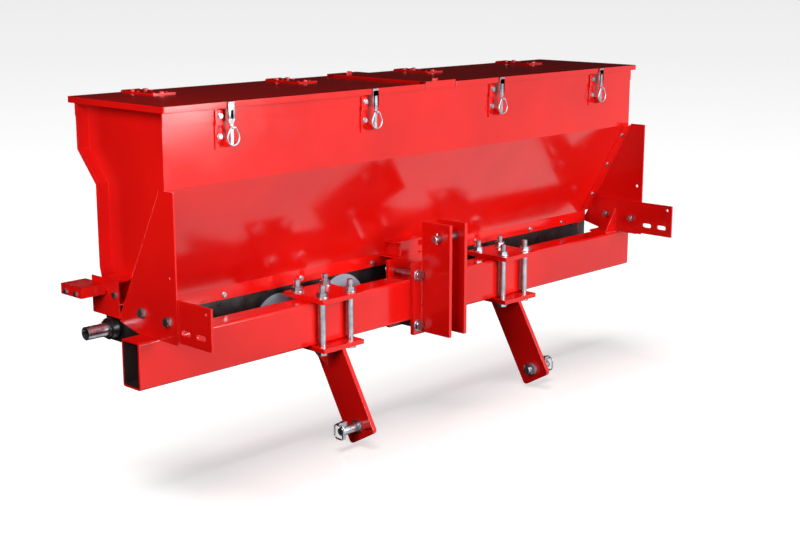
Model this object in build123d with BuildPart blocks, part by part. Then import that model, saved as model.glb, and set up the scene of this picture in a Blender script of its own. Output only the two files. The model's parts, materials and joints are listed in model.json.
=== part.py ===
from build123d import *
import os
from math import acos, atan2, cos, degrees, hypot, radians, sin

os.makedirs("parts", exist_ok=True)

# Three-point-hitch drop spreader. Origin midway between the lower hitch pins,
# +X along the toolbar, -Y toward the tractor, +Z up. All lengths in millimetres.

# Hitch interface (category 1)
shoulder_half = 341.5
lower_pin_r = 11.0
lower_pin_length = 52.5
collar_thickness = 5.0
collar_r = 16.0
linch_offset = 41.0
pin_seat_length = 35.0
pin_relief_r = 10.7
linch_r = 4.5
linch_eye = 15.0
linch_eye_z = 18.0
mast_height = 410.0
top_pin_y = 16.0
top_pin_r = 9.5
mast_gap_half = 23.0
mast_plate = 10.0

# Toolbar tube
toolbar_half = 890.0
toolbar_y = 88.0
toolbar_z = 192.0
toolbar_depth = 62.0
toolbar_height = 106.0
toolbar_wall = 5.0
toolbar_corner_r = 6.5
toolbar_rear = toolbar_y + toolbar_depth
toolbar_top = toolbar_z + toolbar_height

# Hopper shell, as (y, z) section points
sheet = 2.0
shell_half = 830.0
front_chain = [(60, 789), (60, 619), (206, 348), (206, 316)]
rear_chain = [(376, 789), (376, 676), (310, 604), (310, 420), (290, 348), (290, 316)]
panel_x = 800.0
rim_bottom = 749.0
rim_top = 789.0

# Lids
lid_half = 836.0
lid_front = 44.6
lid_rear = 396.3
lid_top = 792.0
lid_lip = 14.0
lid_inner = 56.0
cover_half = 54.0
cover_top = 797.0
hinge_y = 403.0
hinge_z = 789.5
hinge_r = 6.5
hinge_pin_r = 3.0
latch_spots = [-662, -230, 230, 662]

# Latch
latch_y = 45.0
latch_z = 701.0
latch_pin_r = 2.5
latch_bolt_dx = 21.0
strap_front = 40.9
ring_y = 36.8
ring_z = 737.0
ring_wire = 1.6

# Metering
rotor_y = 248.0
rotor_z = 294.0
shaft_r = 15.5
shaft_bore_r = 12.0
shaft_left = 915.0
shaft_seat_r = 15.0
shaft_seat_length = 40.5
rotor_fin_r = 33.0
trough_half_width = 40.0
trough_bottom = 252.0
trough_half = 798.0
outlet_pitch = 234.0
outlet_spots = [outlet_pitch * (i - 3) for i in range(7)]
outlet_length = 24.0
outlet_width = 20.0
guard_r = 75.0
housing_half_width = 36.0
housing_end = 836.0
gate_thickness = 3.0
gate_top = 251.3
gate_offset = 12.0
lever_x = -755.0
lever_y = 318.0
lever_pivot_z = 330.0
lever_pin_z = 257.0

# Gussets and end brackets
gusset_outer = 845.0
gusset_plate = 4.0
bracket_plate = 6.0
slot_length = 30.0
slot_width = 12.0
slot_spots = [(-12, 328), (-62, 328)]
bracket_bolt_spots = [(133, 348), (43, 344)]

# Toolbar clamps
clamp_x = 331.5
clamp_half = 66.0
clamp_y = (48.0, 190.0)
clamp_plate = 12.0
clamp_bolt_dx = 45.5
clamp_bolt_ys = (75.0, 163.0)
m16_r = 8.0
m16_nut = 12.0
arm_plate = 12.0
arm_half_width = 46.0
arm_end = 32.0

# Fastener positions
ledge_spots = [-715, -565, -325, -80, 80, 325, 565, 715]
ledge_z = 327.0
gusset_bolt_zs = [589, 499, 405]
mast_bolt_spots = [(-48, 310), (48, 310), (-48, 180), (48, 180)]


def box(x0, x1, y0, y1, z0, z1, mode=Mode.ADD):
    """One axis-aligned block between two corners."""
    centre = ((x0 + x1) / 2, (y0 + y1) / 2, (z0 + z1) / 2)
    with Locations(centre):
        Box(abs(x1 - x0), abs(y1 - y0), abs(z1 - z0), mode=mode)


def rod_x(x0, x1, y, z, r, mode=Mode.ADD):
    with Locations(Location(((x0 + x1) / 2, y, z), (0, 90, 0))):
        Cylinder(r, abs(x1 - x0), mode=mode)


def rod_y(x, y0, y1, z, r, mode=Mode.ADD):
    with Locations(Location((x, (y0 + y1) / 2, z), (90, 0, 0))):
        Cylinder(r, abs(y1 - y0), mode=mode)


def rod_z(x, y, z0, z1, r, mode=Mode.ADD):
    with Locations((x, y, (z0 + z1) / 2)):
        Cylinder(r, abs(z1 - z0), mode=mode)


def slab_x(points, x0, x1, mode=Mode.ADD):
    """A plate of the given (y, z) outline between two x positions."""
    with BuildSketch(Plane.YZ.offset(x0)) as outline:
        with BuildLine():
            Polyline(*points, close=True)
        make_face()
    extrude(outline.sketch, amount=x1 - x0, dir=(1, 0, 0), mode=mode)


def offset_chain(chain, distance):
    """Parallel copy of an open chain, mitred at its corners."""
    normals = []
    for (y0, z0), (y1, z1) in zip(chain, chain[1:]):
        span = hypot(y1 - y0, z1 - z0)
        normals.append(((z0 - z1) / span, (y1 - y0) / span))
    result = []
    for i, (y, z) in enumerate(chain):
        near = normals[max(i - 1, 0)]
        far = normals[min(i, len(normals) - 1)]
        scale = distance / (1 + near[0] * far[0] + near[1] * far[1])
        result.append((y + (near[0] + far[0]) * scale, z + (near[1] + far[1]) * scale))
    return result


def save(piece, label):
    piece.label = label
    export_step(piece, f"parts/{label}.step")


def hex_bolt(thread_r, head_r, head_h, length):
    """Hex bolt on +Z: seat at z = 0, shank downwards."""
    with BuildPart() as bolt:
        with BuildSketch(Plane.XY):
            RegularPolygon(head_r, 6)
        extrude(amount=head_h)
        rod_z(0, 0, -length, 0.5, thread_r)
    return bolt.part


def hex_nut(bore_r, nut_r, nut_h):
    """Hex nut on +Z with its seat at z = 0."""
    with BuildPart() as nut:
        with BuildSketch(Plane.XY):
            RegularPolygon(nut_r, 6)
            Circle(bore_r, mode=Mode.SUBTRACT)
        extrude(amount=nut_h)
    return nut.part


def bolt_with_nut(thread_r, head_r, head_h, grip, nut_h):
    """Small bolt tightened over a grip, nut and shank as one fastener."""
    with BuildPart() as bolt:
        with BuildSketch(Plane.XY):
            RegularPolygon(head_r, 6)
        extrude(amount=head_h)
        rod_z(0, 0, -grip - nut_h - 1.5, 0.5, thread_r)
        with BuildSketch(Plane.XY.offset(-grip - nut_h)):
            RegularPolygon(head_r, 6)
        extrude(amount=nut_h)
    return bolt.part


def place(piece, locations):
    with Locations(*locations):
        add(piece)


facing_front = (90, 0, 0)
facing_rear = (-90, 0, 0)
facing_left = (0, -90, 0)
facing_right = (0, 90, 0)

# Slope of the front wall: unit outward normal and a point helper
slope_run = front_chain[2][0] - front_chain[1][0]
slope_drop = front_chain[1][1] - front_chain[2][1]
slope_tilt = degrees(atan2(slope_drop, -slope_run))


def slope_y(z):
    """Outer face of the sloped front wall at height z."""
    return front_chain[1][0] + (front_chain[1][1] - z) * slope_run / slope_drop


# ---------------------------------------------------------------- toolbar
def build_toolbar():
    with BuildPart() as toolbar:
        centre = (toolbar_y + toolbar_depth / 2, toolbar_z + toolbar_height / 2)
        with BuildSketch(Plane.YZ.offset(-toolbar_half)):
            with Locations(centre):
                RectangleRounded(toolbar_depth, toolbar_height, toolbar_corner_r)
                RectangleRounded(toolbar_depth - 2 * toolbar_wall,
                                 toolbar_height - 2 * toolbar_wall,
                                 toolbar_corner_r - toolbar_wall, mode=Mode.SUBTRACT)
        extrude(amount=2 * toolbar_half)
    save(toolbar.part, "toolbar")


# ---------------------------------------------------------------- hopper shell
def latch_bolt_points():
    return [(x - latch_bolt_dx, z) for x in latch_spots for z in (762, 718)]


def build_front_wall():
    inner = offset_chain(front_chain, sheet)
    with BuildPart() as front_wall:
        slab_x(front_chain + inner[::-1], -shell_half, shell_half)
        for x in ledge_spots:
            rod_y(x, 200, 212, ledge_z, 3.3, Mode.SUBTRACT)
        for x, z in latch_bolt_points():
            rod_y(x, 55, 66, z, 3.3, Mode.SUBTRACT)
        for side in (-1, 1):
            for z in gusset_bolt_zs:
                spot = Location((side * 818, slope_y(z), z), (slope_tilt, 0, 0))
                with Locations(spot):
                    Cylinder(3.3, 12, mode=Mode.SUBTRACT)
    save(front_wall.part, "front_wall")


def build_rear_wall():
    inner = offset_chain(rear_chain, -sheet)
    with BuildPart() as rear_wall:
        slab_x(rear_chain + inner[::-1], -shell_half, shell_half)
        for x in ledge_spots:
            rod_y(x, 284, 296, ledge_z, 3.3, Mode.SUBTRACT)
        rod_y(lever_x, 289, lever_y + 6, lever_pivot_z, 5)
        rod_y(lever_x, 289, lever_y - 1, lever_pivot_z, 8)
        rod_y(lever_x, lever_y + 5, lever_y + 8, lever_pivot_z, 8)
    save(rear_wall.part, "rear_wall")


def build_rim_band():
    with BuildPart() as rim_band:
        box(-shell_half, shell_half, 58, 60, rim_bottom, rim_top)
        box(-shell_half, shell_half, 376, 378, rim_bottom, rim_top)
        for x, z in latch_bolt_points():
            rod_y(x, 55, 66, z, 3.3, Mode.SUBTRACT)
    save(rim_band.part, "rim_band")


def build_end_panel(side, label):
    """Recessed end panel with a flange turned outward along both walls."""
    front = offset_chain(front_chain, sheet)
    rear = offset_chain(rear_chain, -sheet)
    flange_front = offset_chain(front_chain, 2 * sheet)
    flange_rear = offset_chain(rear_chain, -2 * sheet)
    outline = front[:-1] + [(208, 284), (288, 297)] + rear[:-1][::-1]
    x_in = side * (panel_x - sheet)
    x_face = side * panel_x
    x_edge = side * (panel_x + 28)
    with BuildPart() as panel:
        slab_x(outline, x_in, x_face)
        slab_x(front + flange_front[::-1], x_face, x_edge)
        slab_x(rear + flange_rear[::-1], x_face, x_edge)
        rod_x(x_in - side, x_face + side, rotor_y, rotor_z, 26, Mode.SUBTRACT)
        box(x_in - side, x_face + side, rotor_y - 26, rotor_y + 26, 260, rotor_z,
            Mode.SUBTRACT)
        for z in gusset_bolt_zs:
            with Locations(Location((side * 818, slope_y(z), z), (slope_tilt, 0, 0))):
                Cylinder(3.3, 14, mode=Mode.SUBTRACT)
    save(panel.part, label)


# ---------------------------------------------------------------- gussets
def build_gusset(side, label):
    """Flat side gusset on the toolbar, folded inward along the sloped wall."""
    fold_low = 332.0
    outline = [(12, toolbar_top), (toolbar_rear, toolbar_top), (218, 314),
               (slope_y(fold_low), fold_low), (slope_y(617), 617), (59, 621), (12, 621)]
    outer = side * gusset_outer
    inner = side * (gusset_outer - gusset_plate)
    strip = [(slope_y(617), 617), (slope_y(352), 352)]
    strip_out = offset_chain(strip, -3.0)
    with BuildPart() as gusset:
        slab_x(outline, outer, inner)
        slab_x(strip + strip_out[::-1], side * (gusset_outer - 40), outer)
        rod_x(outer + side, inner - side, 31, 440, 4, Mode.SUBTRACT)
        for y, z in bracket_bolt_spots:
            rod_x(outer + side, inner - side, y, z, 6.4, Mode.SUBTRACT)
        for z in gusset_bolt_zs:
            with Locations(Location((side * 818, slope_y(z), z), (slope_tilt, 0, 0))):
                Cylinder(3.3, 12, mode=Mode.SUBTRACT)
    save(gusset.part, label)


def build_end_bracket(side, label):
    """Angle on the toolbar, stiffening rib and forward slotted plate."""
    outer = side * (gusset_outer - gusset_plate)
    inner = side * (gusset_outer - gusset_plate - bracket_plate)
    outline = [(-96, 303), (24, 303), (24, toolbar_top), (160, toolbar_top),
               (160, 395), (-96, 395)]
    with BuildPart() as bracket:
        slab_x(outline, outer, inner)
        box(inner, side * 778, toolbar_y + 2, toolbar_rear, toolbar_top, toolbar_top + 6)
        with BuildSketch(Plane.XZ.offset(-104)):
            with BuildLine():
                Polyline((inner, toolbar_top + 6), (inner, 368),
                         (side * 790, toolbar_top + 6), close=True)
            make_face()
        extrude(amount=6)
        with BuildSketch(Plane.YZ.offset(min(outer, inner) - 1)):
            with Locations(*slot_spots):
                SlotOverall(slot_length, slot_width)
            with Locations((-80, 381)):
                Circle(4)
            with Locations(*bracket_bolt_spots):
                Circle(6.4)
        extrude(amount=bracket_plate + 2, mode=Mode.SUBTRACT)
    save(bracket.part, label)


def build_bracket_bolts():
    bolt = bolt_with_nut(6.0, 10.5, 8, gusset_plate + bracket_plate, 10)
    left = [Location((-gusset_outer, y, z), facing_left) for y, z in bracket_bolt_spots]
    right = [Location((gusset_outer, y, z), facing_right) for y, z in bracket_bolt_spots]
    with BuildPart() as bolts:
        place(bolt, left + right)
    save(bolts.part, "bracket_bolts")


def build_panel_bolts():
    """M6 fasteners of the ledges, the gusset flanges and the latch brackets."""
    ledge = bolt_with_nut(3.0, 5.8, 4, 2 * sheet, 5)
    gusset = bolt_with_nut(3.0, 5.8, 4, 3.0 + 2 * sheet, 5)
    upper = bolt_with_nut(3.0, 5.8, 4, 8.0, 5)
    lower = bolt_with_nut(3.0, 5.8, 4, 5.0, 5)
    spots = [Location((x, 206, ledge_z), facing_front) for x in ledge_spots]
    spots += [Location((x, 290, ledge_z), facing_rear) for x in ledge_spots]
    tilt = Plane(origin=(0, 0, 0), x_dir=(1, 0, 0),
                 z_dir=(0, -slope_drop, -slope_run)).z_dir
    with BuildPart() as bolts:
        place(ledge, spots)
        for side in (-1, 1):
            for z in gusset_bolt_zs:
                seat = (side * 818, slope_y(z) + 3 * tilt.Y, z + 3 * tilt.Z)
                place(gusset, [Location(seat, (slope_tilt, 0, 0))])
        place(upper, [Location((x - latch_bolt_dx, 54, 762), facing_front) for x in latch_spots])
        place(lower, [Location((x - latch_bolt_dx, 57, 718), facing_front) for x in latch_spots])
    save(bolts.part, "panel_bolts")


# ---------------------------------------------------------------- lids
def build_lid(side, label):
    outer = side * lid_half
    inner = side * lid_inner
    under = lid_top - sheet
    bottom = lid_top - lid_lip
    with BuildPart() as lid:
        box(outer, inner, lid_front, lid_rear, under, lid_top)
        box(outer, inner, lid_front, lid_front + sheet, bottom, under)
        box(outer, inner, lid_rear - sheet, lid_rear, bottom, under)
        box(outer, outer - side * sheet, lid_front, lid_rear, bottom, under)
        box(inner, inner + side * sheet, 66, 370, bottom, under)
        corners = lid.edges().filter_by(Axis.Z).group_by(Axis.X)
        outside = corners[0] if side < 0 else corners[-1]
        fillet(outside, 3.0)
    save(lid.part, label)


def build_hinge_leaves(side, label):
    """Strap leaves bolted on the lid, one knuckle each."""
    with BuildPart() as leaves:
        for x in [spot for spot in latch_spots if spot * side > 0]:
            box(x - 30, x + 30, 275, 395.5, lid_top, lid_top + 3)
            box(x - 11.4, x + 11.4, 390, hinge_y, lid_top, lid_top + 3)
            rod_x(x - 11.4, x + 11.4, hinge_y, hinge_z, hinge_r)
            rod_x(x - 12, x + 12, hinge_y, hinge_z, hinge_pin_r + 0.08, Mode.SUBTRACT)
            for dx, y in ((0, 286), (-18, 372), (18, 372)):
                rod_z(x + dx, y, lid_top + 2, lid_top + 6.5, 5.5)
    save(leaves.part, label)


def build_hinge_butts():
    """Hopper-side hinge halves, each with its fixed hinge pin."""
    with BuildPart() as butts:
        for x in latch_spots:
            box(x - 26, x + 26, 378, 381, 750, 772)
            box(x - 26, x + 26, 378, hinge_y + 3, 769, 772)
            for x0, x1 in ((x - 24, x - 12), (x + 12, x + 24)):
                box(x0, x1, hinge_y - 3, hinge_y + 3, 770, hinge_z)
                rod_x(x0, x1, hinge_y, hinge_z, hinge_r)
            rod_x(x - 24, x + 24, hinge_y, hinge_z, hinge_pin_r)
    save(butts.part, "hinge_butts")


def build_centre_cover():
    under = cover_top - sheet
    bottom = lid_top - lid_lip
    with BuildPart() as cover:
        box(-cover_half, cover_half, lid_front, lid_rear, under, cover_top)
        box(-cover_half, cover_half, lid_front, lid_front + sheet, bottom, under)
        box(-cover_half, cover_half, lid_rear - sheet, lid_rear, bottom, under)
        for side in (-1, 1):
            box(side * cover_half, side * (cover_half - sheet), 66, 370, bottom, under)
            box(side * 30, side * 42, 56, 66, rim_top, under)
            box(side * 30, side * 42, 370, 380, rim_top, under)
        rod_z(0, 66, under - 2, cover_top + 2, 4.5, Mode.SUBTRACT)
        rod_z(0, 370, under - 2, cover_top + 2, 4.5, Mode.SUBTRACT)
    save(cover.part, "centre_cover")


def build_centre_tie():
    """Channel tying front and rear wall under the centre cover."""
    with BuildPart() as tie:
        box(-25, 25, 62, 374, rim_top - 3, rim_top)
        box(-25, -22, 62, 374, rim_top - 45, rim_top - 3)
        box(22, 25, 62, 374, rim_top - 45, rim_top - 3)
        for y in (66, 370):
            with BuildSketch(Plane.XY.offset(rim_top)):
                with Locations((0, y)):
                    Circle(4)
            extrude(amount=12)
            with BuildSketch(Plane.XY.offset(cover_top)):
                with Locations((0, y)):
                    RegularPolygon(8, 6)
            extrude(amount=5)
    save(tie.part, "centre_tie")


# ---------------------------------------------------------------- latches
def build_latch_brackets():
    with BuildPart() as brackets:
        for x in latch_spots:
            box(x - 33, x - 9.6, 57, 60, 690, 748.5)
            box(x - 33, x - 12.1, 54, 58, 742, 774)
            box(x - 12.1, x - 9.6, 45, 58, 695.5, 712)
            rod_x(x - 12.1, x - 9.6, latch_y, latch_z, 6)
            rod_x(x - 12.1, x + 6.5, latch_y, latch_z, latch_pin_r)
            rod_x(x + 6.0, x + 8.0, latch_y, latch_z, 4.2)
            for z in (762, 718):
                rod_y(x - latch_bolt_dx, 50, 64, z, 3.3, Mode.SUBTRACT)
    save(brackets.part, "latch_brackets")


def build_latch_strap(x, label):
    """Strap tapering to its ring lug, narrow tongue to the knuckle below."""
    back = strap_front + 2.5
    taper_top = ring_z + 17
    taper_low = ring_z + 5
    outline = [(x - 8.5, 789.5), (x + 8.5, 789.5), (x + 8.5, taper_top), (x + 4, taper_low),
               (x + 4, latch_z), (x - 4, latch_z), (x - 4, taper_low), (x - 8.5, taper_top)]
    with BuildPart() as strap:
        with BuildSketch(Plane.XZ.offset(-back)):
            with BuildLine():
                Polyline(*outline, close=True)
            make_face()
        extrude(amount=2.5)
        rod_x(x - 4, x + 4, latch_y, latch_z, 4.6)
        rod_x(x - 8.5, x + 8.5, 41.4, 790, 1.9)
        box(x - 4, x + 4, ring_y, strap_front + 1, ring_z - 2.4, ring_z + 2.4)
        rod_x(x - 4, x + 4, ring_y, ring_z, 3.2)
        rod_x(x - 9, x + 9, ring_y, ring_z, ring_wire + 0.08, Mode.SUBTRACT)
        rod_x(x - 9, x + 9, latch_y, latch_z, latch_pin_r + 0.08, Mode.SUBTRACT)
    save(strap.part, label)


def sweep_runs(path, wire_r):
    """Round wire swept along each run of a loop."""
    with BuildPart() as loop:
        for run in path.edges():
            with BuildSketch(Plane(origin=run @ 0, z_dir=run % 0)) as wire:
                Circle(wire_r)
            sweep(wire.sketch, path=run)
    return loop.part


def wire_loop(plane, half_width, height, corner_r, wire_r):
    """Closed wire loop hanging from its straight top bar at the plane origin."""
    inner = half_width - corner_r
    low = -height + corner_r
    with BuildLine(plane) as path:
        Line((-inner, 0), (inner, 0))
        CenterArc((inner, -corner_r), corner_r, 0, 90)
        Line((half_width, -corner_r), (half_width, low))
        CenterArc((inner, low), corner_r, 270, 90)
        Line((inner, -height), (-inner, -height))
        CenterArc((-inner, low), corner_r, 180, 90)
        Line((-half_width, low), (-half_width, -corner_r))
        CenterArc((-inner, -corner_r), corner_r, 90, 90)
    return sweep_runs(path, wire_r)


def build_latch_ring(x, label):
    """Pear shaped pull ring with a straight bar through the lug."""
    plane = Plane(origin=(x, ring_y, ring_z), x_dir=(1, 0, 0), z_dir=(0, -1, 0))
    reach, corner_r, belly_r, height = 5.0, 3.5, 16.0, 38.0
    belly = (0, belly_r - height)
    rise = height - belly_r - corner_r
    lean = degrees(atan2(rise, reach) - acos((belly_r - corner_r) / hypot(reach, rise)))
    c, s = cos(radians(lean)), sin(radians(lean))
    with BuildLine(plane) as path:
        Line((-reach, 0), (reach, 0))
        CenterArc((reach, -corner_r), corner_r, lean, 90 - lean)
        Line((reach + corner_r * c, corner_r * (s - 1)), (belly_r * c, belly[1] + belly_r * s))
        CenterArc(belly, belly_r, lean, -180 - 2 * lean)
        Line((-belly_r * c, belly[1] + belly_r * s), (-reach - corner_r * c, corner_r * (s - 1)))
        CenterArc((-reach, -corner_r), corner_r, 90, 90 - lean)
    save(sweep_runs(path, ring_wire), label)


# ---------------------------------------------------------------- metering
def build_metering_bottom():
    """Moulded trough below the hopper with its outlets and end caps."""
    depth = 340 - trough_bottom
    with BuildPart() as trough:
        with BuildSketch(Plane.YZ.offset(-trough_half)):
            with Locations((rotor_y, trough_bottom + depth / 2)):
                Rectangle(2 * trough_half_width, depth)
        extrude(amount=2 * trough_half)
        low = trough.edges().filter_by(Axis.X).group_by(Axis.Z)[0]
        fillet(low, 14)
        box(-trough_half + 3, trough_half - 3, rotor_y - 38, rotor_y + 38,
            trough_bottom + 18, 345, Mode.SUBTRACT)
        box(-trough_half + 3, trough_half - 3, rotor_y - 26, rotor_y + 26,
            trough_bottom + 2, 300, Mode.SUBTRACT)
        for x in outlet_spots:
            box(x - outlet_length / 2, x + outlet_length / 2,
                rotor_y - outlet_width / 2, rotor_y + outlet_width / 2,
                trough_bottom - 1, trough_bottom + 4, Mode.SUBTRACT)
        rod_x(-trough_half - 1, trough_half + 1, rotor_y, rotor_z, 17, Mode.SUBTRACT)
        for x in ledge_spots:
            rod_y(x, 200, 296, ledge_z, 3.3, Mode.SUBTRACT)
    save(trough.part, "metering_bottom")


def build_gate_rails():
    """Lipped rails of the gate; the rear one stops short of the lever tab."""
    with BuildPart() as rails:
        for side, left in ((-1, -785), (1, -700)):
            web = (rotor_y + side * 24.5, rotor_y + side * 25.9)
            lip = (rotor_y + side * 18, rotor_y + side * 25.9)
            box(left, 785, web[0], web[1], 245.6, trough_bottom)
            box(left, 785, lip[0], lip[1], 245.6, 247.6)
    save(rails.part, "gate_rails")


def build_slide_gate():
    bottom = gate_top - gate_thickness
    with BuildPart() as gate:
        box(lever_x - 17, 778, rotor_y - 24, rotor_y + 24, bottom, gate_top)
        box(lever_x - 17, lever_x + 17, rotor_y, lever_y + 10, bottom, gate_top)
        box(lever_x - 10, lever_x + 10, lever_y + 6, lever_y + 10, bottom, 268)
        rod_y(lever_x, lever_y - 4, lever_y + 7, lever_pin_z, 4)
        for x in outlet_spots:
            box(x + gate_offset - outlet_length / 2, x + gate_offset + outlet_length / 2,
                rotor_y - outlet_width / 2, rotor_y + outlet_width / 2,
                bottom - 1, gate_top + 1, Mode.SUBTRACT)
    save(gate.part, "slide_gate")


def build_rate_lever():
    """Flat lever: slotted foot on the gate pin, bent handle above."""
    with BuildPart() as lever:
        box(lever_x - 9, lever_x + 9, lever_y, lever_y + 4, 253, 400)
        box(lever_x - 9, lever_x + 9, lever_y, lever_y + 18, 400, 403)
        with BuildSketch(Plane.XZ.offset(-lever_y - 5)):
            with Locations((lever_x, lever_pin_z - 1)):
                SlotOverall(15, 8.9, rotation=90)
            with Locations((lever_x, lever_pivot_z)):
                Circle(5.06)
        extrude(amount=7, mode=Mode.SUBTRACT)
        box(lever_x - 4.45, lever_x + 4.45, lever_y - 1, lever_y + 5, 249, 256,
            Mode.SUBTRACT)
    save(lever.part, "rate_lever")


def build_drive_plate():
    """Pressed channel on the end panel."""
    face = -(gusset_outer + 3)
    with BuildPart() as plate:
        box(face, face + 3, 214, 316, 320, 404)
        box(face + 3, -panel_x, 214, 284, 350, 353)
        box(face + 3, -panel_x, 214, 284, 401, 404)
        for y, z in ((228, 372), (262, 372)):
            rod_x(face - 1, face + 4, y, z, 4.3, Mode.SUBTRACT)
    save(plate.part, "drive_plate")


def build_gauge_bracket():
    """Folded gauge cover: top, face and two side flanges."""
    top = 392.0
    with BuildPart() as gauge:
        box(-912, -848, 262, 340, top - 3, top)
        box(-912, -909, 262, 340, 368, top - 3)
        box(-909, -848, 337, 340, 368, top - 3)
        box(-909, -848, 262, 265, 368, top - 3)
        for y in (282, 320):
            rod_x(-913, -908, y, 376, 3.3, Mode.SUBTRACT)
    save(gauge.part, "gauge_bracket")


def build_gauge_bolts():
    small = bolt_with_nut(3.0, 5.8, 4, 3.0, 5)
    large = bolt_with_nut(4.0, 7.5, 5.5, 3.0, 7)
    with BuildPart() as bolts:
        place(small, [Location((-912, y, 376), facing_left) for y in (282, 320)])
        place(large, [Location((-(gusset_outer + 3), y, 372), facing_left)
                      for y in (228,)])
    save(bolts.part, "gauge_bolts")


def build_bearing(side, label):
    """Nylon bearing on the trough cap, its housing filling the recess beyond."""
    inner = side * trough_half
    bore_end = side * housing_end - 1 if side < 0 else 815
    with BuildPart() as bearing:
        rod_x(inner, inner + side * 14, rotor_y, rotor_z, 25)
        box(side * (panel_x + 0.3), side * housing_end, rotor_y - housing_half_width,
            rotor_y + housing_half_width, 262, 338)
        rod_x(inner - side, bore_end, rotor_y, rotor_z, shaft_r + 0.08, Mode.SUBTRACT)
    save(bearing.part, label)


def build_rotor_shaft():
    """Tube through both bearings, turned down at the drive end."""
    seat_end = -shaft_left + shaft_seat_length
    with BuildPart() as shaft:
        rod_x(seat_end, 813, rotor_y, rotor_z, shaft_r)
        rod_x(-shaft_left, seat_end, rotor_y, rotor_z, shaft_seat_r)
        rod_x(-shaft_left - 1, 814, rotor_y, rotor_z, shaft_bore_r, Mode.SUBTRACT)
        rod_z(-903, rotor_y, rotor_z - 20, rotor_z + 20, 4, Mode.SUBTRACT)
    save(shaft.part, "rotor_shaft")


def build_rotor():
    """Finned feed rotor over the outlets."""
    with BuildPart() as rotor:
        with BuildSketch(Plane.YZ.offset(-788)):
            with Locations((rotor_y, rotor_z)):
                Circle(19)
                Rectangle(2 * rotor_fin_r, 4)
                Rectangle(4, 2 * rotor_fin_r)
                Circle(shaft_r + 0.05, mode=Mode.SUBTRACT)
        extrude(amount=2 * 788)
    save(rotor.part, "feed_rotor")


def build_drive_collar():
    with BuildPart() as collar:
        rod_x(-858, -840, rotor_y, rotor_z, 24)
        rod_x(-864, -858, rotor_y, rotor_z, 20)
        rod_x(-865, -839, rotor_y, rotor_z, shaft_r + 0.05, Mode.SUBTRACT)
    save(collar.part, "drive_collar")


def build_flow_guard(x, top, label):
    """Rounded guard on the trough's front face."""
    centre = top - guard_r
    with BuildPart() as guard:
        with BuildSketch(Plane.XZ.offset(-rotor_y + trough_half_width)):
            with Locations((x, centre)):
                Circle(guard_r)
            with Locations((x, centre - guard_r / 2)):
                Rectangle(2 * guard_r + 2, guard_r, mode=Mode.SUBTRACT)
        extrude(amount=3)
    save(guard.part, label)


# ---------------------------------------------------------------- toolbar clamps
def clamp_bolt_points(side):
    return [(side * clamp_x + dx, y) for dx in (-clamp_bolt_dx, clamp_bolt_dx)
            for y in clamp_bolt_ys]


def build_clamp_plate(side, label):
    with BuildPart() as plate:
        x = side * clamp_x
        box(x - clamp_half, x + clamp_half, clamp_y[0], clamp_y[1],
            toolbar_top, toolbar_top + clamp_plate)
        for bx, by in clamp_bolt_points(side):
            rod_z(bx, by, toolbar_top - 1, toolbar_top + 13, m16_r + 0.6, Mode.SUBTRACT)
    save(plate.part, label)


def build_hitch_arm(side, label):
    """Lower clamp plate, sloped arm plate and stiffening rib."""
    x = side * clamp_x
    under = toolbar_z - clamp_plate
    outer = side * (shoulder_half - collar_thickness)
    inner = outer - side * arm_plate
    lean = 0.577
    wide = arm_half_width / 0.866
    tip = (-0.5 * arm_end, -0.866 * arm_end)
    across = (0.866 * arm_half_width, -0.5 * arm_half_width)
    outline = [(-wide + lean * under, under), (wide + lean * under, under),
               (tip[0] + across[0], tip[1] + across[1]),
               (tip[0] - across[0], tip[1] - across[1])]
    with BuildPart() as arm:
        slab_x(outline, inner, outer)
        ends = arm.edges().filter_by(Axis.X).group_by(Axis.Z)
        fillet(ends[0] + ends[1], 10)
        box(x - clamp_half, x + clamp_half, clamp_y[0], clamp_y[1], under, toolbar_z)
        with BuildSketch(Plane.XZ.offset(-112)):
            with BuildLine():
                Polyline((outer, under), (outer + side * 44, under),
                         (outer, under - 52), close=True)
            make_face()
        extrude(amount=8)
        rod_x(outer + side, inner - side, 0, 0, 9.8, Mode.SUBTRACT)
        for bx, by in clamp_bolt_points(side):
            rod_z(bx, by, under - 1, toolbar_z + 1, m16_r + 0.6, Mode.SUBTRACT)
    save(arm.part, label)


def build_clamp_bolts():
    bolt = hex_bolt(m16_r, 13.8, 10, 160)
    under = toolbar_z - clamp_plate
    spots = [Location((bx, by, under), (180, 0, 0))
             for side in (-1, 1) for bx, by in clamp_bolt_points(side)]
    with BuildPart() as bolts:
        place(bolt, spots)
    save(bolts.part, "clamp_bolts")


def build_nuts():
    """All M16 hex nuts of the toolbar clamps and of the mast."""
    nut = hex_nut(m16_r + 0.1, 13.8, m16_nut)
    seat = toolbar_top + clamp_plate
    spots = [Location((bx, by, seat), (0, 0, 0))
             for side in (-1, 1) for bx, by in clamp_bolt_points(side)]
    spots += [Location((x, toolbar_rear + 12, z), facing_rear)
              for x, z in mast_bolt_spots]
    with BuildPart() as nuts:
        place(nut, spots)
    save(nuts.part, "nuts_m16")


def build_lower_pin(side, label):
    face = side * (shoulder_half - collar_thickness)
    shoulder = side * shoulder_half
    tip = side * (shoulder_half + lower_pin_length)
    with BuildPart() as pin:
        rod_x(face, shoulder, 0, 0, collar_r)
        rod_x(shoulder, shoulder + side * pin_seat_length, 0, 0, lower_pin_r)
        rod_x(shoulder + side * pin_seat_length, tip, 0, 0, pin_relief_r)
        ends = pin.edges().filter_by(GeomType.CIRCLE).sort_by(Axis.X)
        chamfer(ends[-1] if side > 0 else ends[0], 2.0)
        rod_x(face, face - side * 34, 0, 0, 9.5)
        rod_z(side * (shoulder_half + linch_offset), 0, -20, 20, 5.3, Mode.SUBTRACT)
    save(pin.part, label)


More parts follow.
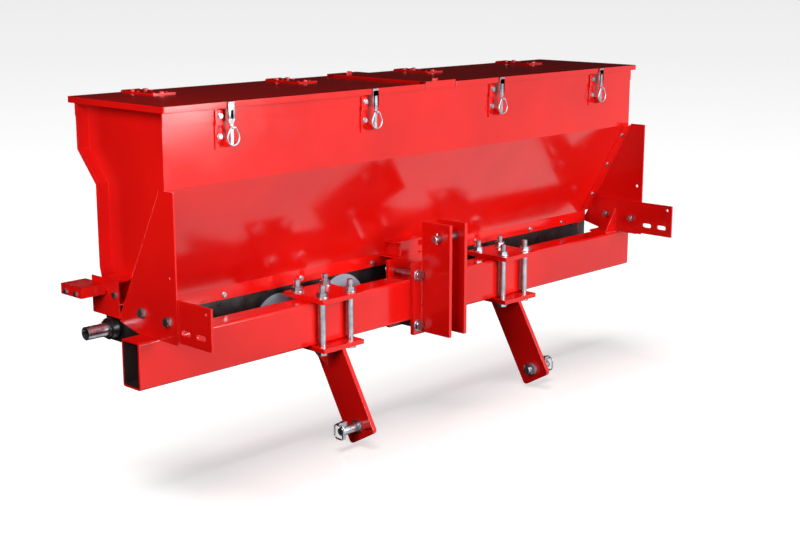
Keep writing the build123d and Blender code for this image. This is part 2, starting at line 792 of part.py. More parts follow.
def build_pin_nuts():
    nut = hex_nut(9.6, 16.5, 16)
    inner = shoulder_half - collar_thickness - arm_plate
    with BuildPart() as nuts:
        place(nut, [Location((-inner, 0, 0), facing_right),
                    Location((inner, 0, 0), facing_left)])
    save(nuts.part, "lower_pin_nuts")


def build_linch_pin(side, label):
    """Linch pin with its eye, standing in the cross hole of a lower pin."""
    x = side * (shoulder_half + linch_offset)
    eye = x + side * linch_eye
    with BuildPart() as pin:
        rod_z(x, 0, -22, 14, linch_r)
        box(x - 6, x + 6, -6, 6, 13, 23)
        box(x, eye, -5, 5, 14, 22)
        rod_y(eye, -5, 5, linch_eye_z, 4)
        rod_y(eye, -6, 6, linch_eye_z, 2.08, Mode.SUBTRACT)
    save(pin.part, label)


def build_linch_ring(side, label):
    eye = side * (shoulder_half + linch_offset + linch_eye)
    plane = Plane(origin=(eye, 0, linch_eye_z), x_dir=(0, 1, 0), z_dir=(1, 0, 0))
    ring = wire_loop(plane, 15.0, 35.0, 9.0, 2.0)
    save(ring, label)


# ---------------------------------------------------------------- mast
def build_mast():
    """Front clamp plate with the two upright top-link plates."""
    with BuildPart() as mast:
        box(-62, 62, 76, toolbar_y, 155, 341)
        for side in (-1, 1):
            box(side * mast_gap_half, side * (mast_gap_half + mast_plate), -18, 76, 160, 446)
        rod_x(-40, 40, top_pin_y, mast_height, top_pin_r + 0.2, Mode.SUBTRACT)
        for x, z in mast_bolt_spots:
            rod_y(x, 70, 92, z, m16_r + 0.6, Mode.SUBTRACT)
    save(mast.part, "mast")


def build_rear_clamp():
    with BuildPart() as rear_clamp:
        box(-75, 75, toolbar_rear, toolbar_rear + 12, 164, 341)
        for x, z in mast_bolt_spots:
            rod_y(x, 148, 164, z, m16_r + 0.6, Mode.SUBTRACT)
    save(rear_clamp.part, "rear_clamp_plate")


def build_mast_bolts():
    bolt = hex_bolt(m16_r, 13.8, 10, 108)
    with BuildPart() as bolts:
        place(bolt, [Location((x, 76, z), facing_front) for x, z in mast_bolt_spots])
    save(bolts.part, "mast_bolts")


def build_hopper_support():
    """Waisted bracket from the rear clamp plate to the sloped wall."""
    low, high = 345, 380
    rib = [(150, 341), (206, 341), (206, 348), (slope_y(high), high), (150, high)]
    shelf = [(146, high), (slope_y(high), high), (slope_y(high + 4), high + 4), (146, high + 4)]
    with BuildPart() as support:
        box(-52, 52, 150, 204, 341, low)
        box(-32, 32, 150, 154, low, high)
        slab_x(rib, -32, -26)
        slab_x(rib, 26, 32)
        slab_x(shelf, -50, 50)
    save(support.part, "hopper_support")


def build_top_pin():
    reach = mast_gap_half + mast_plate
    with BuildPart() as pin:
        rod_x(-reach - 22, reach, top_pin_y, mast_height, top_pin_r)
        ends = pin.edges().filter_by(GeomType.CIRCLE).sort_by(Axis.X)
        chamfer(ends[0], 1.5)
        rod_x(reach, reach + 7, top_pin_y, mast_height, 14)
        rod_z(-reach - 10, top_pin_y, mast_height - 14, mast_height + 14, 2.5)
    save(pin.part, "top_link_pin")


build_toolbar()
build_front_wall()
build_rear_wall()
build_rim_band()
build_end_panel(-1, "end_panel_left")
build_end_panel(1, "end_panel_right")
build_gusset(-1, "gusset_left")
build_gusset(1, "gusset_right")
build_end_bracket(-1, "end_bracket_left")
build_end_bracket(1, "end_bracket_right")
build_bracket_bolts()
build_panel_bolts()
build_lid(-1, "left_lid")
build_lid(1, "right_lid")
build_hinge_leaves(-1, "hinge_leaves_left")
build_hinge_leaves(1, "hinge_leaves_right")
build_hinge_butts()
build_centre_cover()
build_centre_tie()
build_latch_brackets()
for number, spot in enumerate(latch_spots, 1):
    build_latch_strap(spot, f"latch_strap_{number}")
    build_latch_ring(spot, f"latch_ring_{number}")
build_metering_bottom()
build_gate_rails()
build_slide_gate()
build_rate_lever()
build_drive_plate()
build_gauge_bracket()
build_gauge_bolts()
build_bearing(-1, "bearing_left")
build_bearing(1, "bearing_right")
build_rotor_shaft()
build_rotor()
build_drive_collar()
build_flow_guard(-188, 315, "flow_guard_inner")
build_flow_guard(-400, 302, "flow_guard_outer")
build_clamp_plate(-1, "clamp_plate_left")
build_clamp_plate(1, "clamp_plate_right")
build_hitch_arm(-1, "hitch_arm_left")
build_hitch_arm(1, "hitch_arm_right")
build_clamp_bolts()
build_nuts()
build_lower_pin(-1, "lower_pin_left")
build_lower_pin(1, "lower_pin_right")
build_pin_nuts()
build_linch_pin(-1, "linch_pin_left")
build_linch_pin(1, "linch_pin_right")
build_linch_ring(-1, "linch_ring_left")
build_linch_ring(1, "linch_ring_right")
build_mast()
build_rear_clamp()
build_mast_bolts()
build_hopper_support()
build_top_pin()
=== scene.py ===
import json
import math

import bpy
from mathutils import Matrix, Vector

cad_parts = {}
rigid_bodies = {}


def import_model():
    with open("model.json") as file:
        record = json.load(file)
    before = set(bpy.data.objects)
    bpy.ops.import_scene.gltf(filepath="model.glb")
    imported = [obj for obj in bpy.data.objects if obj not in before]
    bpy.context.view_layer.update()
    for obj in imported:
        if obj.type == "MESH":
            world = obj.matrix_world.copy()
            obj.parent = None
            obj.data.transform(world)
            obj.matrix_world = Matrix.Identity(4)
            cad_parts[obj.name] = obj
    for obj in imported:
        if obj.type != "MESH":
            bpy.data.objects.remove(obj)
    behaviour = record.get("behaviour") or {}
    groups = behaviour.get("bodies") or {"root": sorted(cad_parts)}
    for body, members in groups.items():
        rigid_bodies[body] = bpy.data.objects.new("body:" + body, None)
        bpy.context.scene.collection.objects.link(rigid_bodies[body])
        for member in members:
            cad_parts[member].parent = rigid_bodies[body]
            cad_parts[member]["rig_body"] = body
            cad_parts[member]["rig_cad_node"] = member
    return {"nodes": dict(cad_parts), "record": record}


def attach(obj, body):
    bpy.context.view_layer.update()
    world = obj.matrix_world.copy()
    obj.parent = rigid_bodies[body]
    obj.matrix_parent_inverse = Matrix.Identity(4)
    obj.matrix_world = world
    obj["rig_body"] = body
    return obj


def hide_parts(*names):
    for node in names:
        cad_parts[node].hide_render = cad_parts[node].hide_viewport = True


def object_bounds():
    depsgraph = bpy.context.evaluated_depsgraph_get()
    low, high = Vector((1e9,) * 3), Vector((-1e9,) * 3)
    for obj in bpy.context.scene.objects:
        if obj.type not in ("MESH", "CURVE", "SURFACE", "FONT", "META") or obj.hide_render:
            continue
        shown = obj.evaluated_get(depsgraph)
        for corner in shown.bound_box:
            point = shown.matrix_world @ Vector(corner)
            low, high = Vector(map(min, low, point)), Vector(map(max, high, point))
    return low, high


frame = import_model()
cadLow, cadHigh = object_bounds()
nodes = frame["nodes"]
record = frame["record"]
slotOf = {part["node"]: part["material_slot"] for part in record["subparts"]}
bodyOf = {node: body for body, names in record["behaviour"]["bodies"].items() for node in names}
mm = 0.001
bpy.context.scene.view_settings.view_transform = "Standard"
print("frame loaded", len(nodes), "nodes")


# colours and nodes

def toLinear(hexCode):
    values = [int(hexCode[i:i + 2], 16) / 255 for i in (1, 3, 5)]
    return [v / 12.92 if v <= 0.04045 else ((v + 0.055) / 1.055) ** 2.4 for v in values] + [1.0]


def addNode(tree, kind, settings=None, links=None):
    node = tree.nodes.new(kind)
    for key, value in (settings or {}).items():
        if isinstance(key, int) or key in node.inputs:
            node.inputs[key].default_value = value
        else:
            setattr(node, key, value)
    for key, source in (links or {}).items():
        tree.links.new(source, node.inputs[key])
    return node


def finishMaterial(look):
    # two tones mixed by a broad cloud, roughness broken up by a fine one, bump from a third
    material = bpy.data.materials.new(look["name"])
    material.use_nodes = True
    tree = material.node_tree
    tree.nodes.clear()
    place = addNode(tree, "ShaderNodeTexCoord")
    stretched = addNode(tree, "ShaderNodeMapping", {"Scale": look.get("stretch", (1, 1, 1))},
                        {"Vector": place.outputs["Object"]})
    cloud = addNode(tree, "ShaderNodeTexNoise",
                    {"Scale": 1000 / look["cloudMm"], "Detail": 3.0},
                    {"Vector": place.outputs["Object"]})
    tone = addNode(tree, "ShaderNodeMapRange", {"From Min": 0.35, "From Max": 0.65},
                   {"Value": cloud.outputs[0]})
    colour = addNode(tree, "ShaderNodeMix",
                     {"data_type": "RGBA", 6: toLinear(look["light"]), 7: toLinear(look["dark"])},
                     {0: tone.outputs["Result"]})
    smear = addNode(tree, "ShaderNodeTexNoise",
                    {"Scale": 1000 / look["smearMm"], "Detail": 4.0},
                    {"Vector": stretched.outputs["Vector"]})
    rough = addNode(tree, "ShaderNodeMapRange",
                    {"From Min": 0.3, "From Max": 0.7,
                     "To Min": look["roughness"][0], "To Max": look["roughness"][1]},
                    {"Value": smear.outputs[0]})
    grain = addNode(tree, "ShaderNodeTexNoise",
                    {"Scale": 1000 / look["grainMm"], "Detail": 2.0},
                    {"Vector": stretched.outputs["Vector"]})
    bump = addNode(tree, "ShaderNodeBump",
                   {"Strength": look["bump"], "Distance": look["grainDepthMm"] * mm},
                   {"Height": grain.outputs[0]})
    shader = addNode(tree, "ShaderNodeBsdfPrincipled",
                     {"Metallic": look["metallic"]},
                     {"Base Color": colour.outputs[2], "Roughness": rough.outputs["Result"],
                      "Normal": bump.outputs["Normal"]})
    if not look["metallic"]:
        shader.inputs["IOR"].default_value = look["ior"]
    addNode(tree, "ShaderNodeOutputMaterial", None, {"Surface": shader.outputs["BSDF"]})
    return material


# polyester powder coat: sprayed dry and baked, glossy, with a faint orange peel
redPowderCoat = {"name": "redPowderCoat", "light": "#E2120C", "dark": "#D20C0A", "metallic": 0.0,
                 "ior": 1.5, "roughness": (0.1, 0.17), "cloudMm": 300, "smearMm": 40,
                 "grainMm": 4, "grainDepthMm": 0.05, "bump": 0.12}  # real peel is 1 to 2 mm
# bright zinc electroplate: cool, even, slightly cloudy
zincPlate = {"name": "zincPlate", "light": "#BEC1C7", "dark": "#9A9FA8", "metallic": 1.0,
             "roughness": (0.26, 0.33), "cloudMm": 18, "smearMm": 12,
             "grainMm": 2.5, "grainDepthMm": 0.01, "bump": 0.05}
# injection moulded nylon: black, semi gloss, fine spark grain
blackNylon = {"name": "blackNylon", "light": "#101013", "dark": "#08080A", "metallic": 0.0,
              "ior": 1.53, "roughness": (0.26, 0.4), "cloudMm": 120, "smearMm": 20,
              "grainMm": 1.5, "grainDepthMm": 0.04, "bump": 0.2}
# moulded ABS: cool grey, satin
greyAbs = {"name": "greyAbs", "light": "#939DAC", "dark": "#828C9C", "metallic": 0.0,
           "ior": 1.54, "roughness": (0.32, 0.46), "cloudMm": 60, "smearMm": 12,
           "grainMm": 1.5, "grainDepthMm": 0.03, "bump": 0.2}
# cold rolled stainless sheet: lines along the length
rolledStainless = {"name": "rolledStainless", "light": "#C6C6C3", "dark": "#ADAEAD",
                   "metallic": 1.0, "roughness": (0.25, 0.42), "cloudMm": 90, "smearMm": 3,
                   "grainMm": 1.5, "grainDepthMm": 0.02, "bump": 0.2, "stretch": (0.02, 1, 1)}
# bead of mild steel under the same powder coat: a little duller, its ripples are modelled
coatedWeld = dict(redPowderCoat, name="coatedWeld", roughness=(0.24, 0.34), grainMm=2)
# painted shade inside the tube: the red coat made dark and dull to stand for the shade in the
# tube's hollow
tubeInsidePaintedShade = dict(redPowderCoat, name="tubeInsidePaintedShade", light="#2A1210", dark="#170A09",
                 roughness=(0.5, 0.65))

finishOf = {"red_powder_coat": finishMaterial(redPowderCoat),
            "zinc_plate": finishMaterial(zincPlate), "black_nylon": finishMaterial(blackNylon),
            "grey_plastic": finishMaterial(greyAbs), "stainless": finishMaterial(rolledStainless)}
weldFinish = finishMaterial(coatedWeld)
insideShadeFinish = finishMaterial(tubeInsidePaintedShade)
for name, node in nodes.items():
    node.data.materials.clear()
    node.data.materials.append(finishOf[slotOf[name]])
print("materials made")


# small helpers for modelling

def deselectAll():
    if bpy.context.mode != "OBJECT":
        bpy.ops.object.mode_set(mode="OBJECT")
    bpy.ops.object.select_all(action="DESELECT")


def makeActive(piece):
    deselectAll()
    piece.select_set(True)
    bpy.context.view_layer.objects.active = piece


def applyModifier(piece, kind, settings):
    makeActive(piece)
    modifier = piece.modifiers.new(kind.title(), kind)
    for key, value in settings.items():
        setattr(modifier, key, value)
    bpy.ops.object.modifier_apply(modifier=modifier.name)


def joinAll(pieces, name):
    deselectAll()
    for piece in pieces:
        piece.select_set(True)
    bpy.context.view_layer.objects.active = pieces[0]
    if len(pieces) > 1:
        bpy.ops.object.join()
    joined = bpy.context.view_layer.objects.active
    joined.name = name
    joined.data.name = name
    return joined


def settle(piece):
    # place goes into the mesh, object stays at the origin
    makeActive(piece)
    bpy.ops.object.transform_apply(location=True, rotation=True, scale=True)


def hand(piece, body, slotName, replaced=(), finish=None, smoothAngle=30):
    makeActive(piece)
    bpy.ops.object.shade_smooth_by_angle(angle=math.radians(smoothAngle))
    piece.data.materials.clear()
    piece.data.materials.append(finish or finishOf[slotName])
    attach(piece, body)
    if replaced:
        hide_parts(*replaced)


# sheet, plate and tube pieces with their edges eased, as cut and coated steel has

easedEdges = {  # edge radius in mm
    "toolbar": 0.8, "front_wall": 0.5, "rear_wall": 0.5, "rim_band": 0.5,
    "end_panel_left": 0.5, "end_panel_right": 0.5, "gusset_left": 0.8, "gusset_right": 0.8,
    "end_bracket_left": 1.0, "end_bracket_right": 1.0, "left_lid": 0.6, "right_lid": 0.6,
    "centre_cover": 0.6, "clamp_plate_left": 1.2, "clamp_plate_right": 1.2,
    "hitch_arm_left": 1.2, "hitch_arm_right": 1.2, "mast": 1.2, "rear_clamp_plate": 1.2,
    "hopper_support": 0.8, "latch_brackets": 0.4, "drive_plate": 0.5, "gauge_bracket": 0.5,
    "rate_lever": 0.5, "hinge_butts": 0.4, "hinge_leaves_left": 0.5, "hinge_leaves_right": 0.5,
    "latch_strap_1": 0.35, "latch_strap_2": 0.35, "latch_strap_3": 0.35, "latch_strap_4": 0.35,
    "linch_pin_left": 0.6, "linch_pin_right": 0.6, "top_link_pin": 0.8,
    "lower_pin_left": 0.8, "lower_pin_right": 0.8, "rotor_shaft": 0.5, "drive_collar": 0.8,
    "bearing_left": 0.8, "bearing_right": 0.8, "metering_bottom": 0.8,
    "flow_guard_inner": 0.8, "flow_guard_outer": 0.8}
easing = {"merge": 0.002, "flatDegrees": 0.5, "sharpDegrees": 22, "segments": 2,
          "smoothDegrees": 40}  # merge distance in mm
tubeInside = {"inset": 3, "endNormal": 0.5}  # mm in from the outer faces


def camelName(node):
    words = node.split("_")
    return words[0] + "".join(word.title() for word in words[1:])


def easedCopy(node, radius):
    makeActive(nodes[node])
    nodes[node].hide_viewport = False
    bpy.ops.object.duplicate()
    piece = bpy.context.view_layer.objects.active
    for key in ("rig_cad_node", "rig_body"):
        del piece[key]
    piece.parent = None
    piece.name = camelName(node)
    bpy.ops.mesh.customdata_custom_splitnormals_clear()
    bpy.ops.object.mode_set(mode="EDIT")
    bpy.ops.mesh.select_all(action="SELECT")
    bpy.ops.mesh.remove_doubles(threshold=easing["merge"] * mm)
    bpy.ops.mesh.dissolve_limited(angle_limit=math.radians(easing["flatDegrees"]))
    bpy.ops.object.mode_set(mode="OBJECT")
    applyModifier(piece, "BEVEL", {"width": radius * mm, "segments": easing["segments"],
                                   "limit_method": "ANGLE", "use_clamp_overlap": False,
                                   "angle_limit": math.radians(easing["sharpDegrees"])})
    hand(piece, bodyOf[node], slotOf[node], (node,), smoothAngle=easing["smoothDegrees"])
    applyModifier(piece, "WEIGHTED_NORMAL", {"keep_sharp": True, "weight": 100})
    return piece


eased = {node: easedCopy(node, radius) for node, radius in easedEdges.items()}
tube = eased["toolbar"]
# second slot on the tube: the dark painted-shade finish for its inner faces
tube.data.materials.append(insideShadeFinish)
outerLow, outerHigh = tube.bound_box[0], tube.bound_box[6]
inset = tubeInside["inset"] * mm
# faces inside the tube, away from its ends, take the painted shade
for face in tube.data.polygons:
    within = all(outerLow[axis] + inset < face.center[axis] < outerHigh[axis] - inset
                 for axis in (1, 2))
    if within and abs(face.normal.x) < tubeInside["endNormal"]:
        face.material_index = 1
print("edges eased on", len(easedEdges), "pieces")


# bolts, nuts and washers

chamfer = {"topCut": 0.9, "slope": 1.73, "sides": 36}  # 30 degrees, flat top 0.9 of the corners
thread = {"tip": 0.82, "root": 0.88, "lead": 0.3, "sides": 20}  # radii as parts of the shank's


def hexagon(radius, height, base):
    # the turned chamfer leaves an arc on each flat
    topRadius = radius * chamfer["topCut"]
    middle = (0, 0, (base + height / 2) * mm)
    bpy.ops.mesh.primitive_cylinder_add(vertices=6, radius=radius * mm, depth=height * mm,
                                        location=middle)
    block = bpy.context.active_object
    bpy.ops.mesh.primitive_cone_add(vertices=chamfer["sides"], depth=height * mm,
                                    radius1=(topRadius + height * chamfer["slope"]) * mm,
                                    radius2=topRadius * mm, location=middle)
    cone = bpy.context.active_object
    applyModifier(block, "BOOLEAN", {"operation": "INTERSECT", "object": cone, "solver": "EXACT"})
    bpy.data.objects.remove(cone)
    settle(block)
    return block


def washerDisc(radius, thickness, base):
    bpy.ops.mesh.primitive_cylinder_add(vertices=32, radius=radius * mm, depth=thickness * mm,
                                        location=(0, 0, (base + thickness / 2) * mm))
    disc = bpy.context.active_object
    applyModifier(disc, "BEVEL", {"width": 0.25 * mm, "segments": 2})
    settle(disc)
    return disc


def threadedRod(radius, low, high, threadTop, pitch):
    # extruded upwards from its tip, ring by ring through the threads
    bpy.ops.mesh.primitive_circle_add(vertices=thread["sides"], radius=radius * thread["tip"] * mm,
                                      fill_type="NGON", location=(0, 0, low * mm))
    rod = bpy.context.active_object
    bpy.ops.object.mode_set(mode="EDIT")
    bpy.ops.mesh.select_all(action="SELECT")
    height, size = low, thread["tip"]
    steps = []
    while height + pitch < threadTop:
        steps += [(pitch / 2, 1.0), (pitch / 2, thread["root"])]
        height += pitch
    steps += [(thread["lead"], 1.0), (high - height - thread["lead"], 1.0)]
    for rise, ring in steps:
        bpy.ops.mesh.extrude_region_move(TRANSFORM_OT_translate={"value": (0, 0, rise * mm)})
        bpy.ops.transform.resize(value=(ring / size, ring / size, 1))
        size = ring
    bpy.ops.mesh.select_all(action="SELECT")
    bpy.ops.mesh.normals_make_consistent(inside=False)
    bpy.ops.object.mode_set(mode="OBJECT")
    settle(rod)
    return rod


def fastener(size):
    # head up, seat at zero, shank down; a nut may sit at the end of the grip
    shankOverlap = 0.2  # into the head
    made = [washerDisc(size["washer"], size["washerDeep"], 0),
            hexagon(size["corner"], size["head"] - size["washerDeep"], size["washerDeep"]),
            threadedRod(size["shank"], -size["length"], shankOverlap,
                        size["threadTop"], size["pitch"])]
    if size.get("nut"):
        made.append(hexagon(size["corner"], size["nut"], -size["grip"] - size["nut"]))
        makeActive(made[-1])
        bpy.ops.object.mode_set(mode="EDIT")
        bpy.ops.mesh.select_all(action="SELECT")
        middle = -(size["grip"] + size["nut"] / 2) * mm
        bpy.ops.transform.rotate(value=math.pi, orient_axis="X", center_override=(0, 0, middle))
        bpy.ops.object.mode_set(mode="OBJECT")
    return joinAll(made, "fastenerModel")


def flangedNut(washer, washerDeep, corner, height):
    return joinAll([washerDisc(washer, washerDeep, 0), hexagon(corner, height, washerDeep)],
                   "nutModel")


def setOf(model, spots, name):
    # one model copied to every (place, direction), each copy with its own mesh
    copies = []
    for place, direction in spots:
        copy = bpy.data.objects.new(name, model.data.copy())
        bpy.context.scene.collection.objects.link(copy)
        turn = Vector(direction).to_track_quat("Z", "Y").to_matrix().to_4x4()
        copy.data.transform(Matrix.Translation(Vector(place) * mm) @ turn)
        copies.append(copy)
    bpy.data.objects.remove(model)
    return copies


front, rear, left, right = (0, -1, 0), (0, 1, 0), (-1, 0, 0), (1, 0, 0)
up, down = (0, 0, 1), (0, 0, -1)
sides = (-1, 1)  # left and right of the middle
latchXs = (-662, -230, 230, 662)
ledge = {"xs": (-715, -565, -325, -80, 80, 325, 565, 715), "z": 327, "front": 206, "rear": 290}
slope = {"topY": 60, "topZ": 619, "run": 146, "fall": 271, "sheet": 3, "flangeX": 818,
         "boltZs": (589, 499, 405)}  # front wall's sloped part
slopeOut = Vector((0, -slope["fall"], -slope["run"])).normalized()


def slopeSpot(side, z):
    y = slope["topY"] + (slope["topZ"] - z) * slope["run"] / slope["fall"]
    return Vector((side * slope["flangeX"], y, z)) + slope["sheet"] * slopeOut


smallBolt = {"corner": 5.8, "head": 4.0, "washer": 6.4, "washerDeep": 1.0, "shank": 3.0,
             "nut": 5.0, "pitch": 1.0}
ledgeModel = fastener(dict(smallBolt, grip=4, length=10.5, threadTop=-4))
flangeModel = fastener(dict(smallBolt, grip=7, length=13.5, threadTop=-7))
upperModel = fastener(dict(smallBolt, grip=8, length=14.5, threadTop=-8))
lowerModel = fastener(dict(smallBolt, grip=5, length=11.5, threadTop=-5))
latchBolt = {"dx": -21, "upper": (54, 762), "lower": (57, 718)}  # y and z of each pair
panelBolts = setOf(ledgeModel, [((x, ledge["front"], ledge["z"]), front) for x in ledge["xs"]]
                   + [((x, ledge["rear"], ledge["z"]), rear) for x in ledge["xs"]], "panelBolts")
panelBolts += setOf(flangeModel, [(slopeSpot(side, z), slopeOut)
                                  for side in sides for z in slope["boltZs"]], "panelBolts")
for boltModel, spot in ((upperModel, latchBolt["upper"]), (lowerModel, latchBolt["lower"])):
    panelBolts += setOf(boltModel, [((x + latchBolt["dx"], *spot), front) for x in latchXs],
                        "panelBolts")
hand(joinAll(panelBolts, "panelBolts"), "frame", "zinc_plate", ("panel_bolts",))

bracketModel = fastener({"corner": 10.5, "head": 8, "washer": 12, "washerDeep": 2, "shank": 6,
                         "grip": 10, "nut": 10, "length": 21.5, "threadTop": -10, "pitch": 1.75})
bracketSpots = {"x": 845, "yz": ((133, 348), (43, 344))}
bracketBolts = setOf(bracketModel, [((side * bracketSpots["x"], y, z), (side, 0, 0))
                                    for side in sides for y, z in bracketSpots["yz"]],
                     "bracketBolts")
hand(joinAll(bracketBolts, "bracketBolts"), "frame", "zinc_plate", ("bracket_bolts",))

gaugeModel = fastener(dict(smallBolt, grip=3, length=9.5, threadTop=-3))
pivotModel = fastener({"corner": 7.5, "head": 5.5, "washer": 8.2, "washerDeep": 1.4, "shank": 4,
                       "grip": 3, "nut": 7, "length": 11.5, "threadTop": -3, "pitch": 1.25})
gaugeSpots = [(-912, 282, 376), (-912, 320, 376)]
pivotSpot = (-848, 228, 372)
gaugeBolts = setOf(gaugeModel, [(spot, left) for spot in gaugeSpots], "gaugeBolts")
gaugeBolts += setOf(pivotModel, [(pivotSpot, left)], "gaugeBolts")
hand(joinAll(gaugeBolts, "gaugeBolts"), "frame", "zinc_plate", ("gauge_bolts",))

toolbarBolt = {"corner": 13.8, "head": 10, "washer": 15, "washerDeep": 2.5, "shank": 8,
               "pitch": 2.5}
clamp = {"x": 331.5, "dxs": (-45.5, 45.5), "ys": (75, 163), "low": 180, "high": 310}
mast = {"xz": [(-48, 310), (48, 310), (-48, 180), (48, 180)], "front": 76, "rear": 162}
clampSpots = [(side * clamp["x"] + dx, y) for side in sides for dx in clamp["dxs"]
              for y in clamp["ys"]]
clampModel = fastener(dict(toolbarBolt, length=160, threadTop=-118))
clampBolts = setOf(clampModel, [((x, y, clamp["low"]), down) for x, y in clampSpots], "clampBolts")
hand(joinAll(clampBolts, "clampBolts"), "frame", "zinc_plate", ("clamp_bolts",))
mastModel = fastener(dict(toolbarBolt, length=108, threadTop=-86))
mastBolts = setOf(mastModel, [((x, mast["front"], z), front) for x, z in mast["xz"]], "mastBolts")
hand(joinAll(mastBolts, "mastBolts"), "frame", "zinc_plate", ("mast_bolts",))

toolbarNut = {"washer": 15, "washerDeep": 2.5, "corner": 13.8, "height": 9.5}
nuts = setOf(flangedNut(**toolbarNut), [((x, y, clamp["high"]), up) for x, y in clampSpots]
             + [((x, mast["rear"], z), rear) for x, z in mast["xz"]], "toolbarNuts")
hand(joinAll(nuts, "toolbarNuts"), "frame", "zinc_plate", ("nuts_m16",))
pinNut = {"washer": 18, "washerDeep": 2.5, "corner": 16.5, "height": 13.5}
armInsideX = 324.5
pinNuts = setOf(flangedNut(**pinNut), [((-armInsideX, 0, 0), right), ((armInsideX, 0, 0), left)],
                "pinNuts")
hand(joinAll(pinNuts, "pinNuts"), "frame", "zinc_plate", ("lower_pin_nuts",))
print("fasteners made")


# weld beads

weld = {"ripple": 3.2, "radius": 3.4, "sides": 10, "end": 0.5, "hollow": 0.86}  # mm, then parts
seams = [  # start and end of each seam on the right; the left has the same
    ((23, 76, 165), (23, 76, 336)),  # mast plates on their base plate
    ((33, 76, 165), (33, 76, 336)),
    ((324.5, 57, 180), (324.5, 152, 180)),  # arm under the clamp plate
    ((336.5, 57, 180), (336.5, 152, 180)),
    ((337, 112, 178), (337, 112, 132)),  # web between arm and plate
    ((340, 112, 180), (376, 112, 180)),
    ((834, 104, 304), (834, 104, 362)),  # web between toolbar and gusset
    ((794, 104, 304), (832, 104, 304)),
    ((782, 92, 299), (834, 92, 299)),
    ((32, 154, 347), (32, 154, 378))]  # neck of the hopper support


def weldBead(start, end):
    # one rippled bead, extruded ring by ring along +Z, then laid on its seam
    run = Vector(end) - Vector(start)
    count = max(4, int(run.length / weld["ripple"]) * 2)
    rise = run.length / count
    bpy.ops.mesh.primitive_circle_add(vertices=weld["sides"], fill_type="NGON",
                                      radius=weld["radius"] * weld["end"] * mm)
    bead = bpy.context.active_object
    bpy.ops.object.mode_set(mode="EDIT")
    bpy.ops.mesh.select_all(action="SELECT")
    size = weld["end"]
    for i in range(count):
        ring = weld["end"] if i == count - 1 else (1.0 if i % 2 == 0 else weld["hollow"])
        bpy.ops.mesh.extrude_region_move(TRANSFORM_OT_translate={"value": (0, 0, rise * mm)})
        bpy.ops.transform.resize(value=(ring / size, ring / size, 1))
        size = ring
    bpy.ops.mesh.select_all(action="SELECT")
    bpy.ops.mesh.normals_make_consistent(inside=False)
    bpy.ops.object.mode_set(mode="OBJECT")
    turn = run.to_track_quat("Z", "Y").to_matrix().to_4x4()
    bead.data.transform(Matrix.Translation(Vector(start) * mm) @ turn)
    return bead


beads = [weldBead((side * start[0], *start[1:]), (side * end[0], *end[1:]))
         for side in sides for start, end in seams]
hand(joinAll(beads, "weldBeads"), "frame", "red_powder_coat", finish=weldFinish, smoothAngle=50)
print("welds made")


# latch cover plates, tapered to the ring pivot

latchPlate = {"half": 8.0, "foot": 4.0, "top": 787, "shoulder": 755, "bottom": 743,
              "front": 39.6, "deep": 1.3, "edge": 0.5}


def latchCover(number, x):
    plate = latchPlate
    tall = plate["top"] - plate["shoulder"]
    middle = (x, plate["front"] + plate["deep"] / 2, plate["shoulder"] + tall / 2)
    bpy.ops.mesh.primitive_cube_add(size=1, location=Vector(middle) * mm)
    cover = bpy.context.active_object
    cover.dimensions = Vector((2 * plate["half"], plate["deep"], tall)) * mm
    settle(cover)
    for face in cover.data.polygons:
        face.select = face.normal.z < -0.9
    bpy.ops.object.mode_set(mode="EDIT")
    bpy.ops.mesh.select_mode(type="FACE")
    drop = (plate["bottom"] - plate["shoulder"]) * mm
    bpy.ops.mesh.extrude_region_move(TRANSFORM_OT_translate={"value": (0, 0, drop)})
    bpy.ops.transform.resize(value=(plate["foot"] / plate["half"], 1, 1),
                             center_override=(x * mm, 0, plate["bottom"] * mm))
    bpy.ops.object.mode_set(mode="OBJECT")
    applyModifier(cover, "BEVEL", {"width": plate["edge"] * mm, "segments": 2})
    cover.name = f"latchCover{number}"
    hand(cover, f"strap_{number}", "zinc_plate")


for number, x in enumerate(latchXs, 1):
    latchCover(number, x)


# rivets of the hinge leaves

rivet = {"radius": 4.2, "rise": 2.0, "dxs": (-18, 18), "ys": (292, 350), "base": 795,
         "segments": 20, "rings": 12}


def domeRivet(x, y):
    seat = Vector((x, y, rivet["base"])) * mm
    bpy.ops.mesh.primitive_uv_sphere_add(segments=rivet["segments"], ring_count=rivet["rings"],
                                         radius=rivet["radius"] * mm, location=seat)
    dome = bpy.context.active_object
    bpy.ops.object.mode_set(mode="EDIT")
    bpy.ops.mesh.select_all(action="SELECT")
    bpy.ops.mesh.bisect(plane_co=seat, plane_no=up, clear_inner=True, use_fill=True)
    bpy.ops.mesh.select_all(action="SELECT")
    bpy.ops.transform.resize(value=(1, 1, rivet["rise"] / rivet["radius"]), center_override=seat)
    bpy.ops.object.mode_set(mode="OBJECT")
    settle(dome)
    return dome


for name, body, xs in (("hingeRivetsLeft", "left_lid", latchXs[:2]),
                       ("hingeRivetsRight", "right_lid", latchXs[2:])):
    rivets = [domeRivet(x + dx, y) for x in xs for y in rivet["ys"] for dx in rivet["dxs"]]
    hand(joinAll(rivets, name), body, "red_powder_coat")
print("latch covers and rivets made")


# floor, lights and camera

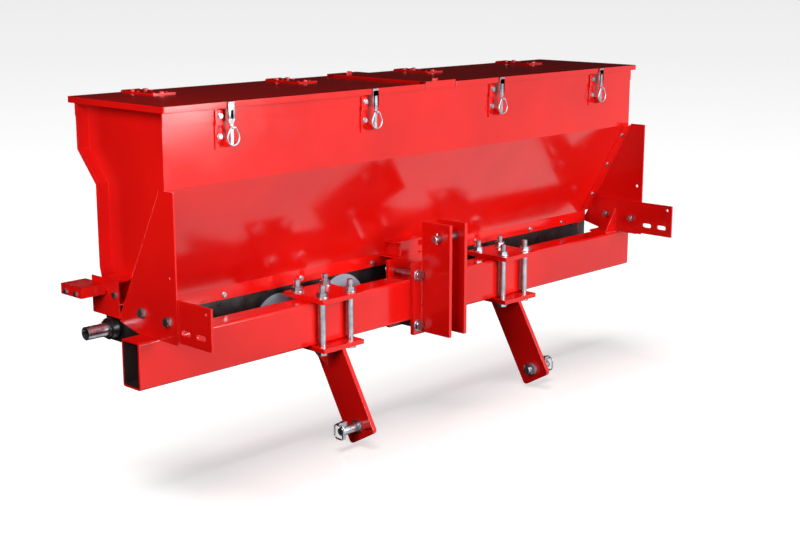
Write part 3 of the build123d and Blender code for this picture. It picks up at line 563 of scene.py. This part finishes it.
paleFloor = {"colour": "#F4F4F4", "glow": 0.62, "roughness": 0.12, "specular": 0.15,
             "size": 80, "gap": 0.001}
softBoxes = {  # watts, place, target, size and, where it is narrowed, spread in degrees
    "keyBox": (125, (0.5, -2.9, 1.1), (0, 0.1, 0.4), (2.2, 1.6)),
    "leftBox": (5.5, (-1.9, -0.5, 1.15), (-0.85, 0.2, 0.55), (0.8, 0.9), 75),
    "topBox": (2.5, (0.3, 0.4, 2.9), (0, 0.2, 0.5), (3.0, 1.4)),
    "rightBox": (9, (2.7, 0.7, 0.36), (0.8, 0.2, 0.36), (1.2, 0.7)),
    "rearBox": (30, (0, 3.2, 0.36), (0, 0.3, 0.36), (2.6, 0.7))}  # stays below the lids
sun = {"strength": 2.2, "place": (-0.5, 0.5, 4), "degrees": 40}
surroundings = {"front": 0.95, "back": 0.01, "fadeFrom": -0.15, "fadeTo": 0.25}
view = {"place": (-2.5106, -2.2384, 1.0751), "degrees": (77.58, 0, -46.02), "lens": 61.85,
        "sensor": 36}

bpy.ops.mesh.primitive_plane_add(size=paleFloor["size"],
                                 location=(0, 0, cadLow.z - paleFloor["gap"]))
floor = bpy.context.active_object
floor.name = "studioFloor"
floor.visible_diffuse = floor.visible_glossy = False  # keeps its white out of the paint
floorMaterial = bpy.data.materials.new("paleFloor")
floorMaterial.use_nodes = True
floorShader = floorMaterial.node_tree.nodes["Principled BSDF"]
floorShader.inputs["Base Color"].default_value = toLinear(paleFloor["colour"])
floorShader.inputs["Roughness"].default_value = paleFloor["roughness"]
floorShader.inputs["Specular IOR Level"].default_value = paleFloor["specular"]
floorShader.inputs["Emission Color"].default_value = toLinear("#FFFFFF")
floorShader.inputs["Emission Strength"].default_value = paleFloor["glow"]
floor.data.materials.append(floorMaterial)


def lampAt(name, kind, power, place, target):
    light = bpy.data.lights.new(name, kind)
    light.energy = power
    lamp = bpy.data.objects.new(name, light)
    bpy.context.scene.collection.objects.link(lamp)
    lamp.location = place
    lamp.rotation_euler = (Vector(target) - Vector(place)).to_track_quat("-Z", "Y").to_euler()
    lamp.visible_camera = False
    return lamp


notFloor = bpy.data.collections.new("notFloor")
notFloor.objects.link(floor)
notFloor.collection_objects[0].light_linking.link_state = "EXCLUDE"


def softBox(name, power, place, target, size, spread=180):
    lamp = lampAt(name, "AREA", power, place, target)
    lamp.data.spread = math.radians(spread)
    lamp.data.shape = "RECTANGLE"
    lamp.data.size, lamp.data.size_y = size
    lamp.light_linking.receiver_collection = notFloor


for name, setting in softBoxes.items():
    softBox(name, *setting)

floorOnly = bpy.data.collections.new("floorOnly")
floorOnly.objects.link(floor)
floorSun = lampAt("floorSun", "SUN", sun["strength"], sun["place"], (0, 0, 0))
floorSun.data.angle = math.radians(sun["degrees"])  # soft shadow
floorSun.light_linking.receiver_collection = floorOnly

world = bpy.data.worlds.new("studio")
bpy.context.scene.world = world
world.use_nodes = True
world.cycles_visibility.diffuse = False
backdrop = world.node_tree.nodes["Background"]
backdrop.inputs["Color"].default_value = toLinear("#FFFFFF")
direction = addNode(world.node_tree, "ShaderNodeTexCoord")
along = addNode(world.node_tree, "ShaderNodeSeparateXYZ", None,
                {0: direction.outputs["Generated"]})
fade = addNode(world.node_tree, "ShaderNodeMapRange",
               {"From Min": surroundings["fadeFrom"], "From Max": surroundings["fadeTo"],
                "To Min": surroundings["front"], "To Max": surroundings["back"]},
               {"Value": along.outputs["Y"]})
world.node_tree.links.new(fade.outputs["Result"], backdrop.inputs["Strength"])  # bright in front

camera = bpy.data.objects.new("camera", bpy.data.cameras.new("camera"))
bpy.context.scene.collection.objects.link(camera)
camera.data.sensor_width, camera.data.lens = view["sensor"], view["lens"]
camera.location = view["place"]
camera.rotation_euler = [math.radians(turn) for turn in view["degrees"]]
bpy.context.scene.camera = camera
print("studio set")
